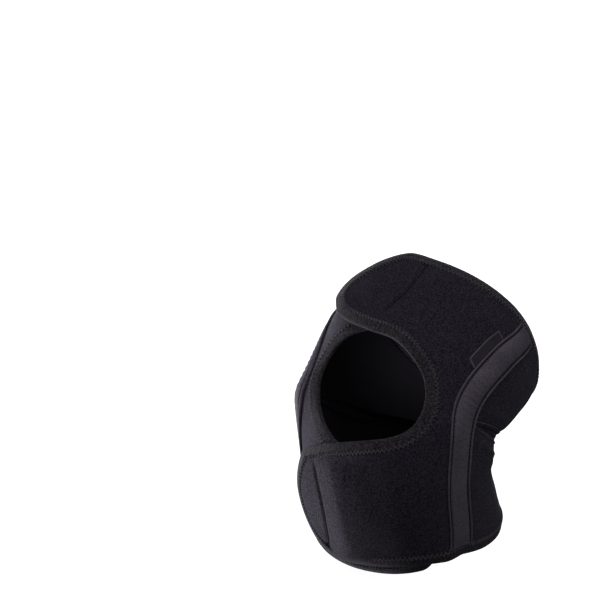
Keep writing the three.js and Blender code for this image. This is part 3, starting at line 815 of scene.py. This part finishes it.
def woven_tape(name, shade, surface, rib, depth, highlighted_edges=None):
    """Narrow woven tape: fine ribs across its length from the weft, read from the tape's own cut map,
    broken up by yarn 1.3 mm thick and by wear in patches of 14 mm. A wave's bands are 2 pi / 20 of a
    unit apart. The highlighted edges, given by the tape's length and by the place of its fold across it in
    millimetres, are a painted highlight: a narrow paler line at both ends and the fold, where those edges catch
    the light."""
    made, tree = started(name)
    if tree:
        cut = add(tree, "ShaderNodeTexCoord").outputs["UV"]
        ribs = add(
            tree, "ShaderNodeTexWave",
            {
                "Vector": cut, "Scale": 2 * np.pi / 20 / (rib * MM), "Distortion": 1.2,
                "Detail": 2.0, "Detail Scale": 2.0,
            },
            wave_type="BANDS", bands_direction="X",
        )
        yarn = add(tree, "ShaderNodeTexNoise", {"Vector": cut, "Scale": 1 / (1.3 * MM), "Detail": 3.0})
        wear = add(tree, "ShaderNodeTexNoise", {"Vector": cut, "Scale": 1 / (14 * MM), "Detail": 1.0})
        height = add(
            tree, "ShaderNodeMath", {0: yarn.outputs[0], 1: 4.0, 2: ribs.outputs[1]}, operation="MULTIPLY_ADD"
        )
        worn = add(
            tree, "ShaderNodeMath", {0: wear.outputs[0], 1: 2.0, 2: height.outputs[0]}, operation="MULTIPLY_ADD"
        )
        share = add(tree, "ShaderNodeMapRange", {"Value": worn.outputs[0], "From Min": 2.6, "From Max": 4.4})
        dull = shaded(shade, 0.55)
        tone = add(tree, "ShaderNodeMix", {0: share.outputs[0], 6: dull, 7: shade}, data_type="RGBA")
        if highlighted_edges:
            run, fold = highlighted_edges
            way = add(tree, "ShaderNodeSeparateXYZ", {0: cut})
            end = add(tree, "ShaderNodeMath", {0: way.outputs[0], 1: run / 2 * MM}, operation="PINGPONG")
            side = add(tree, "ShaderNodeMath", {0: way.outputs[1], 1: fold * MM}, operation="SUBTRACT")
            side = add(tree, "ShaderNodeMath", {0: side.outputs[0]}, operation="ABSOLUTE")
            near = add(tree, "ShaderNodeMath", {0: end.outputs[0], 1: side.outputs[0]}, operation="MINIMUM")
            # Painted highlight: a paler line within a millimetre of the ends and the fold, where the edges catch
            # the light
            pale = add(
                tree, "ShaderNodeMapRange",
                {"Value": near.outputs[0], "From Min": 1.0 * MM, "From Max": 0.5 * MM},
            )
            tone = add(
                tree, "ShaderNodeMix",
                {0: pale.outputs[0], 6: tone.outputs[2], 7: shaded(shade, 3.2)},
                data_type="RGBA",
            )
        finished(tree, tone.outputs[2], height.outputs[0], depth, surface)
    return made


def band_tape():
    """Brushed nylon tape: matt, with faint ribs under a slightly worn nap."""
    surface = {"Roughness": 0.9, "Specular IOR Level": 0.04}
    return woven_tape("brushed_nylon_band_tape", colours()["band"], surface, rib=0.9, depth=0.08)


def tag_ribbon():
    """Woven satin ribbon: smooth, a little glossy, with a painted highlight as a paler line along its cut ends
    and its fold.
    """
    size = sizes()
    # The tag's ends and fold get a painted highlight
    highlighted_edges = (size["tag_length"], size["tag_width"])
    surface = {"Roughness": 0.6, "Specular IOR Level": 0.12}
    return woven_tape("woven_satin_label_ribbon", colours()["tag"], surface, rib=0.7, depth=0.08, highlighted_edges=highlighted_edges)


def light_table():
    """Translucent white acrylic lit from below: even, pale and nearly free of shadows."""
    made, tree = started("translucent_white_acrylic")
    if tree:
        at = add(tree, "ShaderNodeTexCoord").outputs["Object"]
        grain = add(tree, "ShaderNodeTexNoise", {"Vector": at, "Scale": 1 / (4 * MM), "Detail": 2.0})
        bump = add(tree, "ShaderNodeBump", {"Height": grain.outputs[0], "Distance": 0.05 * MM})
        seen = add(tree, "ShaderNodeLightPath").outputs["Is Camera Ray"]
        glow = add(tree, "ShaderNodeMath", {0: seen, 1: 0.9, 2: 0.06}, operation="MULTIPLY_ADD")
        shader = add(
            tree,
            "ShaderNodeBsdfPrincipled",
            {
                "Base Color": colours()["floor"],
                "Roughness": 0.9,
                "Specular IOR Level": 0.0,
                "Emission Color": linear("#ffffff"),
                "Emission Strength": glow.outputs[0],
                "Normal": bump.outputs[0],
            },
        )
        add(tree, "ShaderNodeOutputMaterial", {"Surface": shader.outputs[0]})
    return made


# ---------------------------------------------------------------- reliefs of the cloth


def pad_relief(angle, station, line, groove, swell, width):
    """Sewn line across a strap: a narrow groove, and beside it, away from the strap's end, a swell
    where the strap lifts over the pad's edge and settles again."""
    rows = line[::-1] if line[0][STATION] > line[-1][STATION] else line
    x = (angle - through(rows, ANGLE, key=STATION)(station)) * degree_at(angle, station)
    rise = mix(np.clip(x / width, 0, 1), soft_step(0, width, x), PAD["softness"])
    settled = soft_step(width + PAD["settles"], width, x)
    return swell * rise * settled - groove * np.exp(-((x / PAD["groove_width"]) ** 2))


def over_relief(angle, station, distance, size):
    """Relief of the wrap on top: the crown beside its binding, and further in the unevenness and the pads."""
    past = distance - size["binding_lap"]
    pads = sum(
        soft_step(*strap, station) * pad_relief(angle, station, line, groove, swell, width)
        for line, strap, groove, swell, width in PADS
    )
    uneven = UNEVEN["height"] * drift(angle, station, UNEVEN["slow"], UNEVEN["seed"])
    inside = soft_step(*BESIDE_TAPE["uneven"], past)
    return crown(distance, size) + inside * uneven + soft_step(0, PAD["fade"], past) * pads


def pit_folds(angle, station):
    """Folds beside the knee pit: rounded ridges along straight lines of places, fading at both ends."""
    total = 0.0
    for a0, s0, a1, s1, width, height in PIT_FOLDS:
        t = (angle - a0) / (a1 - a0)
        fade = soft_step(*PIT_FADE["grows"], t) * soft_step(*PIT_FADE["fades"], t)
        total = total + height * fade * np.exp(-(((station - mix(s0, s1, t)) / width) ** 2))
    return total


# ---------------------------------------------------------------- operators


def laminate(name, angle, station, layer, relief, ring=False):
    """A panel of the laminate: a slab between its layer and the same places a wall and a relief higher."""
    outer = place(angle, station, layer + sizes()["wall"] + relief)
    body = slab(outer, place(angle, station, layer), ring)
    return piece(name, *body, looped_pile(), "looped_laminate", lining=lining_in_painted_shade())


class OverWrapOperator(bpy.types.Operator):
    """Builds the wrap of the near side, whose straps close on top"""

    bl_idname = "knee_support.over_wrap"
    bl_label = "Over wrap"

    def execute(self, context):
        size = sizes()
        angle, station = over_grid()
        layer = on_top(angle, station)
        distance = edge_distance(place(angle, station, layer))
        relief = over_relief(angle, station, distance, size)
        made = laminate("over_wrap_cloth", angle, station, layer, relief)
        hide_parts("over_wrap")
        return {"FINISHED"}


class UnderWrapOperator(bpy.types.Operator):
    """Builds the wrap of the far side, whose straps lie beneath"""

    bl_idname = "knee_support.under_wrap"
    bl_label = "Under wrap"

    def execute(self, context):
        size = sizes()
        angle, station = under_grid()
        layer = on_leg(angle, station)
        relief = crown(edge_distance(place(angle, station, layer)), size)
        made = laminate("under_wrap_cloth", angle, station, layer, relief)
        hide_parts("under_wrap")
        return {"FINISHED"}


class BackPanelOperator(bpy.types.Operator):
    """Builds the panel behind the leg with its cut-out"""

    bl_idname = "knee_support.back_panel"
    bl_label = "Back panel"

    def execute(self, context):
        size = sizes()
        angle, station = back_grid()
        layer = on_top(angle, station)
        distance = edge_distance(place(angle, station, layer), ends=False)
        inside = soft_step(size["binding_lap"], size["binding_lap"] + PIT_FADE["past_lap"], distance)
        relief = crown(distance, size) + inside * pit_folds(angle, station)
        made = laminate("back_panel_cloth", angle, station, layer, relief, ring=True)
        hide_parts("back_panel")
        return {"FINISHED"}


class KneePitInsertOperator(bpy.types.Operator):
    """Builds the thin insert that bunches in the knee pit"""

    bl_idname = "knee_support.knee_pit_insert"
    bl_label = "Knee-pit insert"

    def execute(self, context):
        size = sizes()
        angle, station = lens_grid()
        share = (angle - PIT["middle"]) / (PIT["reach"] + PIT_LAP["reach"])
        across = np.linspace(-1, 1, PIT_LINES)[None, :]
        fade = 1 - share**2
        along = soft_step(*INSERT["fade_along"], np.abs(share))
        bunched = along * soft_step(*INSERT["fade_across"], np.abs(across))
        wave = np.cos(across * np.pi * INSERT["folds"] + INSERT["slant"] * share) - INSERT["level"]
        bulge = size["insert_bulge"] * through(PIT_PROFILE, 1, key=0)(across) * fade
        outer = -INSERT["behind"] + bulge + size["insert_fold"] * wave * bunched
        made = piece(
            "knee_pit_insert_cloth",
            *slab(place(angle, station, outer), place(angle, station, outer - size["insert_wall"])),
            smooth_knit(),
            "smooth_knit",
            lining=lining_in_painted_shade(),
        )
        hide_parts("knee_pit_insert")
        return {"FINISHED"}


def band_end(rows, place_at, across, size):
    """Station of a rim over a band's end, at a share of the band's half width."""
    angle, station = place_at
    turned = angle + across * size["band_width"] / 2 / degree_at(np.float64(angle), np.float64(station))
    return through(rows, STATION, key=ANGLE)(turned)


def band_grid(side, across, size):
    """Places of a stay band: columns along the leg between the rims, lines across its width."""
    pick = 0 if side > 0 else -1
    t = np.linspace(0, 1, BAND_COLUMNS)[:, None]
    margin = size["binding_lap"] + BAND_MARGIN
    low = band_end(BACK_LOWER_RIM, BACK_LOWER_RIM[pick], across, size) + margin
    high = band_end(BACK_UPPER_RIM, BACK_UPPER_RIM[pick], across, size) - margin
    station = mix(low, high, t)
    angle = side * band_angle(station)
    return angle + across * size["band_width"] / 2 / degree_at(angle, station), station


def band_height(across, station):
    """Height of a band over the cloth: its cross-section, with small gathers where the leg bends."""
    wave = np.sin(station * 2 * np.pi / GATHERS["spacing"] + GATHERS["slant"] * across)
    bend = np.exp(-(((station - GATHERS["station"]) / GATHERS["reach"]) ** 2))
    gathers = GATHERS["height"] * wave * bend * soft_step(*GATHERS["fade"], np.abs(across))
    return through(BAND_PROFILE, 1, key=0)(across) + gathers


class StayBandsOperator(bpy.types.Operator):
    """Builds the padded tapes over the two side seams and the rows of stitches in their grooves"""

    bl_idname = "knee_support.stay_bands"
    bl_label = "Stay bands"

    def execute(self, context):
        size = sizes()
        across = np.concatenate([np.linspace(*lines) for lines in BAND_LINES])
        base = size["wall"] + BAND_GAP
        threads = []
        for name, side, layer in (("near_stay_band", 1, on_top), ("far_stay_band", -1, on_leg)):
            angle, station = band_grid(side, across[None, :], size)
            floor = layer(angle, station) + base
            ends = np.minimum(station - station[:1], station[-1:] - station)
            pressed = mix(BAND_PRESS["least"], 1, soft_step(0, BAND_PRESS["reach"], ends))
            outer = place(angle, station, floor + band_height(across[None, :], station) * pressed)
            inner = place(angle, station, floor)
            off = across[None, :] * size["band_width"] / 2
            cut = np.stack(np.broadcast_arrays(station * MM, off * MM), axis=-1)
            cuts = np.stack([cut, cut])
            made = piece(name + "_tape", *slab(outer, inner), band_tape(), "band_tape", uv=cuts)
            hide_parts(name)
            for edge in (-BAND_GROOVE, BAND_GROOVE):
                groove = base + band_height(np.float64(edge), np.float64(GROOVE_STATION))
                line = (places[2:-2, 0] for places in band_grid(side, np.array([[edge]]), size))
                threads.append(running_stitch(*line, lambda a, s: layer(a, s) + groove, size))
        # Dark thread: painted shade along the bands' stitch grooves, on top of the thread's own black
        thread = sewing_thread("spun_polyester_thread", colours()["thread"])
        piece("band_stitching", *joined(threads), thread, "band_tape")
        return {"FINISHED"}


def folded_ribbon(reach, radius):
    """Cross-section of a ribbon folded on itself: out along the cloth, half a turn, and back on top."""
    turn = np.linspace(-np.pi / 2, np.pi / 2, TAG_LINES)
    straight = np.linspace(0, 1, TAG_LINES)
    off = np.concatenate([straight * reach, reach + radius * np.cos(turn[1:-1]), straight[::-1] * reach])
    rise = np.concatenate([0 * straight, radius * (1 + np.sin(turn[1:-1])), 2 * radius + 0 * straight])
    return off, rise


class SideTagOperator(bpy.types.Operator):
    """Builds the blank tag beside the near band"""

    bl_idname = "knee_support.side_tag"
    bl_label = "Side tag"

    def execute(self, context):
        size = sizes()
        t = np.linspace(0, 1, TAG_COLUMNS)[:, None]
        layer = size["tag_wall"] / 3  # two layers of ribbon, and the gap between them
        half = layer / 2
        off, rise = folded_ribbon(size["tag_width"] - layer - half, layer)
        slope = unit(np.stack([np.gradient(off), np.gradient(rise)], axis=-1))

        def skin(side):
            out = (off + side * half * slope[:, 1])[None, :]
            station = TAG["station"] + size["tag_length"] * (t - 0.5) + TAG["slant"] * out
            beside = size["band_width"] / 2 + TAG["gap"] + out
            angle = band_angle(station) - beside / degree_at(band_angle(station), station)
            curl = TAG["curl"] * (out / size["tag_width"]) ** 2 - TAG["droop"] * np.abs(2 * t - 1) ** 3
            lift = on_top(angle, station) + size["wall"] + TAG["rise"] + curl
            return place(angle, station, lift + rise - side * half * slope[:, 0])

        run = np.concatenate([[0], np.cumsum(np.hypot(np.diff(off), np.diff(rise)))])
        cut = np.stack(np.broadcast_arrays(t * size["tag_length"] * MM, run[None, :] * MM), axis=-1)
        cuts = np.stack([cut, cut])
        made = piece("side_tag_ribbon", *slab(skin(1), skin(-1)), tag_ribbon(), "tag_ribbon", uv=cuts)
        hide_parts("side_tag")
        return {"FINISHED"}


def outline():
    """The support's edge as two lines of places, one on the layer beneath and one on the layer on
    top, with the cloth always on the left seen from outside; the two close into one loop."""
    over, under, back = over_grid(), under_grid(), back_grid()
    upper, seam = WRAP_COLUMNS["upper"], WRAP_COLUMNS["seam"]
    rim_steps, seam_steps = BACK_COLUMNS["rim"], BACK_COLUMNS["seam"]
    leg, top = [], []
    for o, u, b in zip(over, under, back):
        ring = b[:, -1]
        leg.append(
            np.concatenate(
                [u[upper + seam :, -1], u[-1, -2::-1], u[-2::-1, 0], u[0, 1:], u[1 : upper + 1, -1]]
            )
        )
        top.append(
            np.concatenate(
                [
                    ring[seam_steps + 1 : seam_steps + rim_steps][::-1],
                    o[upper::-1, -1],
                    o[0, -2::-1],
                    o[1:, 0],
                    o[-1, 1:],
                    o[upper + seam : -1, -1][::-1],
                    ring[-rim_steps + 1 :][::-1],
                ]
            )
        )
    return leg, top


def smoothed(values, width):
    """A closed row of vectors, each averaged with its neighbours under a raised cosine."""
    weights = np.hanning(2 * width + 3)[1:-1]
    shifts = range(-width, width + 1)
    return sum(w * np.roll(values, s, axis=0) for w, s in zip(weights / weights.sum(), shifts))


def edge_path(spacing):
    """The whole edge, evenly spaced: angle, station, height of its layer as a function, and the
    direction into the cloth, which is the normal crossed with the way along."""
    leg, top = (respaced(*line, spacing) for line in outline())
    angle, station = np.concatenate([leg[0], top[0]]), np.concatenate([leg[1], top[1]])
    is_top = np.arange(len(angle)) >= len(leg[0])

    def layer(a, s):
        return np.where(is_top.reshape((-1,) + (1,) * (np.ndim(a) - 1)), on_top(a, s), 0.0)

    spots = place(angle, station, layer(angle, station))
    tangent = np.roll(spots, -1, axis=0) - np.roll(spots, 1, axis=0)
    inward = unit(np.cross(axes_at(angle, station)[2], unit(tangent)))
    return angle, station, layer, unit(smoothed(inward, max(1, int(round(TAPE_SMOOTHING / spacing)))))


def tape_profile(size):
    """Closed cross-section of the folded tape: its outside over the cloth, round the edge and back
    underneath, then its inside."""
    outside, inside = np.array(TAPE_OUTSIDE), np.array(TAPE_INSIDE)

    def over(rows):
        return np.stack([rows[:, 0], size["wall"] - pinch(rows[:, 0], size) + rows[:, 1]], -1)

    def under(rows, share):
        return np.stack([rows[::-1, 0], -share * rows[::-1, 1]], -1)

    return np.concatenate([over(outside), under(outside, TAPE_UNDER), under(inside, 1), over(inside)])


class EdgeBindingOperator(bpy.types.Operator):
    """Builds the folded tape round the whole edge and its zigzag stitching"""

    bl_idname = "knee_support.edge_binding"
    bl_label = "Edge binding"

    def execute(self, context):
        size = sizes()
        angle, station, layer, inward = edge_path(TAPE_SPACING)
        profile = tape_profile(size)
        a, s = moved(angle[:, None], station[:, None], inward[:, None, :], profile[None, :, 0])
        points = place(a, s, layer(a, s) + profile[None, :, 1])
        along = np.arange(len(angle)) * TAPE_SPACING * MM
        round_it = np.concatenate([[0], np.cumsum(np.linalg.norm(np.diff(profile, axis=0), axis=1))]) * MM
        cut = np.stack(np.broadcast_arrays(along[:, None], round_it[None, :]), axis=-1)
        made = piece(
            "edge_binding_tape",
            points,
            hoop_quads(*points.shape[:2], closed=True),
            binding_tape(),
            "binding_tape",
            uv=cut,
        )
        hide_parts("edge_binding")

        angle, station, layer, inward = edge_path(size["stitch"] / ZIGZAG_STEPS)
        swing = np.abs(np.arange(len(angle)) % ZIGZAG_STEPS * 2 / ZIGZAG_STEPS - 1)
        reach = size["binding_lap"] + mix(-ZIGZAG["short"], ZIGZAG["past"], swing)
        a, s = moved(angle, station, inward, reach)
        raised = mix(ZIGZAG["on_tape"], ZIGZAG["on_cloth"], soft_step(*ZIGZAG["drop"], swing))
        path = place(a, s, layer(a, s) + size["wall"] - pinch(reach, size) + raised)
        piece(
            "binding_stitching",
            *thread_tube(path, axes_at(a, s)[2], size["thread"], closed=True),
            sewing_thread("textured_nylon_thread", colours()["binding_thread"]),
            "binding_tape",
        )
        return {"FINISHED"}


class PanelStitchingOperator(bpy.types.Operator):
    """Builds the sewn lines of the hook pads and the seam round the knee-pit cut-out"""

    bl_idname = "knee_support.panel_stitching"
    bl_label = "Panel stitching"

    def execute(self, context):
        size = sizes()
        threads = []
        for line in (UPPER_PAD_LINE, LOWER_PAD_LINE):
            t = np.linspace(0, len(line) - 1, PAD_POINTS)
            angle, station = through(line, ANGLE)(t), through(line, STATION)(t)
            depth = size["wall"] - PAD["thread_depth"]
            threads.append(running_stitch(angle, station, lambda a, s: on_top(a, s) + depth, size))
        # Dark thread: painted shade along the pads' sewn grooves, on top of the thread's own black
        thread = sewing_thread("spun_polyester_thread", colours()["thread"])
        piece("pad_stitching", *joined(threads), thread, "looped_laminate")

        angle, station = (np.append(line, line[0]) for line in set_in(*back_grid(), PIT_SEAM))
        depth = size["wall"] - pinch(PIT_SEAM, size)
        seam = running_stitch(angle, station, lambda a, s: on_top(a, s) + depth, size)
        thread = sewing_thread("textured_nylon_thread", colours()["binding_thread"])
        piece("pit_stitching", *seam, thread, "looped_laminate")
        return {"FINISHED"}


# ---------------------------------------------------------------- stage

# Camera: azimuth and elevation in degrees, distance and sight in metres, focal length in pixels
CAMERA = {"azimuth": 34.2, "elevation": 13.6, "distance": 1.4, "sight": 50, "focal_px": 1960, "sensor_mm": 36}
# Picture: its width in pixels, where the frame's origin lies in it, and its scale there
PHOTO = {"pixels": 600, "origin_x": 405.6, "origin_y": 409.3, "px_per_mm": 1.4}
# Floor: half its width and its gap under the part in metres, and grid points along a side
FLOOR = {"half": 6, "gap": 0.0002, "points": 25}
WORLD_STRENGTH = 0.25
# Soft boxes: name, turn to the right of the camera and height in degrees, distance, width, height, watts.
# The last one lights the back.
LIGHTS = (
    ("side_box", -112, -20, 1.4, 0.7, 0.18, 76),
    ("top_box", -20, 70, 1.5, 1.0, 1.0, 13),
    ("edge_box", 40, 48, 1.5, 0.6, 0.6, 5.5),
    ("rear_box", 178, 14, 1.7, 1.2, 0.9, 48),
)


def view_axes():
    """The camera's right, up and back directions from its azimuth and elevation."""
    a, e = math.radians(CAMERA["azimuth"]), math.radians(CAMERA["elevation"])
    back = Vector((math.sin(a) * math.cos(e), -math.cos(a) * math.cos(e), math.sin(e)))
    right = Vector((math.cos(a), math.sin(a), 0))
    return right, back.cross(right), back


def facing(right, up, back, spot):
    """The place and turn of a camera or lamp: its three axes as columns, moved to its spot."""
    turn = Matrix((right, up, back)).transposed().to_4x4()
    return Matrix.Translation(spot) @ turn


class StageOperator(bpy.types.Operator):
    """Builds the floor, the soft boxes and the camera"""

    bl_idname = "knee_support.stage"
    bl_label = "Stage"

    def execute(self, context):
        scene = context.scene
        scene.view_settings.view_transform = "Standard"
        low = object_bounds()[0]
        spread = np.linspace(-FLOOR["half"], FLOOR["half"], FLOOR["points"])
        x, y = np.meshgrid(spread, spread, indexing="ij")
        points = np.stack([x, y, np.full_like(x, low.z - FLOOR["gap"])], axis=-1).reshape(-1, 3)
        quads = grid_quads(np.arange(x.size).reshape(x.shape))
        mesh = bpy.data.meshes.new("floor")
        mesh.from_pydata(points.tolist(), [], quads.tolist())
        mesh.materials.append(light_table())
        floor = bpy.data.objects.new("floor", mesh)
        floor.visible_shadow = False
        scene.collection.objects.link(floor)
        floor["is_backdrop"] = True

        right, up, back = view_axes()
        across = (PHOTO["pixels"] / 2 - PHOTO["origin_x"]) / PHOTO["px_per_mm"] * MM
        rise = (PHOTO["origin_y"] - PHOTO["pixels"] / 2) / PHOTO["px_per_mm"] * MM
        target = right * across + up * rise
        camera = bpy.data.cameras.new("camera")
        camera.sensor_width = CAMERA["sensor_mm"]
        camera.lens = camera.sensor_width * CAMERA["focal_px"] / PHOTO["pixels"]
        camera.clip_end = CAMERA["sight"]
        eye = bpy.data.objects.new("camera", camera)
        eye.matrix_world = facing(right, up, back, target + back * CAMERA["distance"])
        scene.collection.objects.link(eye)
        scene.camera = eye

        for name, turn, rise, distance, width, height, watts in LIGHTS:
            light = bpy.data.lights.new(name, "AREA")
            light.shape = "RECTANGLE"
            light.size, light.size_y, light.energy = width, height, watts
            a, e = math.radians(CAMERA["azimuth"] + turn), math.radians(rise)
            out = Vector((math.sin(a) * math.cos(e), -math.cos(a) * math.cos(e), math.sin(e)))
            spot = out * distance
            beside = Vector((0, 0, 1)).cross(out).normalized()
            lamp = bpy.data.objects.new(name, light)
            lamp.matrix_world = facing(beside, out.cross(beside), out, spot)
            scene.collection.objects.link(lamp)

        world = bpy.data.worlds.new("studio")
        world.use_nodes = True
        world.node_tree.nodes.clear()
        white = {"Color": linear("#ffffff"), "Strength": WORLD_STRENGTH}
        sky = add(world.node_tree, "ShaderNodeBackground", white)
        add(world.node_tree, "ShaderNodeOutputWorld", {"Surface": sky.outputs[0]})
        scene.world = world
        return {"FINISHED"}


OPERATORS = (
    UnderWrapOperator,
    BackPanelOperator,
    KneePitInsertOperator,
    OverWrapOperator,
    StayBandsOperator,
    SideTagOperator,
    EdgeBindingOperator,
    PanelStitchingOperator,
    StageOperator,
)


class KneeSupportPanel(bpy.types.Panel):
    """Lists the steps, sizes and colours"""

    bl_idname = "VIEW3D_PT_knee_support"
    bl_label = "Knee support"
    bl_space_type = "VIEW_3D"
    bl_region_type = "UI"
    bl_category = "Knee support"

    def draw(self, context):
        for operator in OPERATORS:
            self.layout.operator(operator.bl_idname)
        for group, kind in (
            (context.scene.knee_support_sizes, KneeSupportSizes),
            (context.scene.knee_support_colours, KneeSupportColours),
        ):
            for name in kind.__annotations__:
                self.layout.prop(group, name)


CLASSES = (KneeSupportSizes, KneeSupportColours, *OPERATORS, KneeSupportPanel)


def register():
    """Registers the classes and gives the scene its sizes and colours."""
    for kind in CLASSES:
        bpy.utils.register_class(kind)
    bpy.types.Scene.knee_support_sizes = PointerProperty(type=KneeSupportSizes)
    bpy.types.Scene.knee_support_colours = PointerProperty(type=KneeSupportColours)


def unregister():
    """Takes back what register did, in the opposite order."""
    del bpy.types.Scene.knee_support_sizes
    del bpy.types.Scene.knee_support_colours
    for kind in reversed(CLASSES):
        bpy.utils.unregister_class(kind)


def main():
    """Registers the add-on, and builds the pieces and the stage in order."""
    register()
    bpy.ops.knee_support.under_wrap()
    bpy.ops.knee_support.back_panel()
    bpy.ops.knee_support.knee_pit_insert()
    bpy.ops.knee_support.over_wrap()
    bpy.ops.knee_support.stay_bands()
    bpy.ops.knee_support.side_tag()
    bpy.ops.knee_support.edge_binding()
    bpy.ops.knee_support.panel_stitching()
    bpy.ops.knee_support.stage()


if __name__ == "__main__":
    main()
